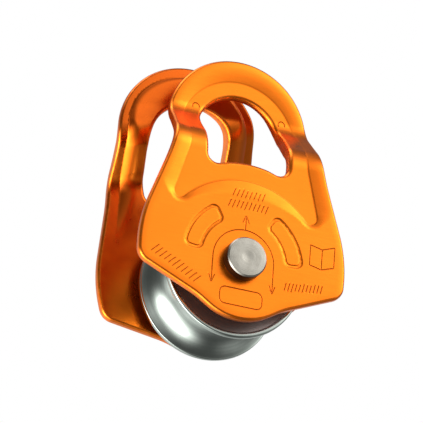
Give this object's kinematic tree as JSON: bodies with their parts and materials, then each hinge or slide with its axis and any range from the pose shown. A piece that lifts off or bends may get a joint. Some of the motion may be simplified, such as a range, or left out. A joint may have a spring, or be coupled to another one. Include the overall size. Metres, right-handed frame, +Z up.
{
  "type": "rope pulley",
  "caption": "Rope pulley with a grooved ball-bearing sheave on a headed axle between pressed orange side plates that swing open to take the rope and close on a carabiner.",
  "frame": {"origin": "centre of the sheave on the axle's axis, midway between the two side plates", "axes": "+Y along the axle towards the rear side plate, +Z up through the front side plate's carabiner eye, +X to the right as seen from the front"},
  "size_m": [0.0557, 0.0362, 0.0753],
  "materials": {
    "orange_plate": "satin orange anodised pressing with tumbled edges",
    "turned_steel": "turned stainless steel",
    "collar_metal": "turned",
    "sheave_metal": "polished",
    "spring_steel": "phosphated spring steel",
    "bearing_steel": "ground",
    "ball_steel": "polished",
    "cage_steel": "pressed",
    "seal_rubber": "matte black"
  },
  "bodies": {
    "front_plate": {"front_side_plate": "orange_plate"},
    "axle": {"axle_pin": "turned_steel", "axle_rear_head": "turned_steel", "front_collar": "collar_metal", "rear_collar": "collar_metal", "bearing_spacer": "collar_metal", "front_bearing_inner_ring": "bearing_steel", "rear_bearing_inner_ring": "bearing_steel"},
    "rear_plate": {"rear_side_plate": "orange_plate"},
    "wheel": {"sheave": "sheave_metal", "bearing_retaining_rings": "spring_steel", "front_bearing_outer_ring": "bearing_steel", "front_bearing_outboard_seal": "seal_rubber", "front_bearing_inboard_seal": "seal_rubber", "rear_bearing_outer_ring": "bearing_steel", "rear_bearing_outboard_seal": "seal_rubber", "rear_bearing_inboard_seal": "seal_rubber"},
    "front_ball_set": {"front_bearing_balls": "ball_steel", "front_bearing_cage": "cage_steel"},
    "rear_ball_set": {"rear_bearing_balls": "ball_steel", "rear_bearing_cage": "cage_steel"}
  },
  "joints": [
    {"name": "axle_turn", "type": "hinge", "parent": "front_plate", "child": "axle", "pos_m": [0, 0, 0], "axis": [0, 1, 0], "continuous": true},
    {"name": "rear_plate_swing", "type": "hinge", "parent": "axle", "child": "rear_plate", "pos_m": [0, 0, 0], "axis": [0, 1, 0], "continuous": true},
    {"name": "sheave_spin", "type": "hinge", "parent": "axle", "child": "wheel", "pos_m": [0, 0, 0], "axis": [0, 1, 0], "continuous": true},
    {"name": "front_ball_set_orbit", "type": "hinge", "parent": "axle", "child": "front_ball_set", "pos_m": [0, 0, 0], "axis": [0, 1, 0], "continuous": true},
    {"name": "rear_ball_set_orbit", "type": "hinge", "parent": "axle", "child": "rear_ball_set", "pos_m": [0, 0, 0], "axis": [0, 1, 0], "continuous": true}
  ],
  "couplings": [
    {"joint": "front_ball_set_orbit", "follows": "sheave_spin", "ratio": 0.6},
    {"joint": "rear_ball_set_orbit", "follows": "sheave_spin", "ratio": 0.6}
  ]
}
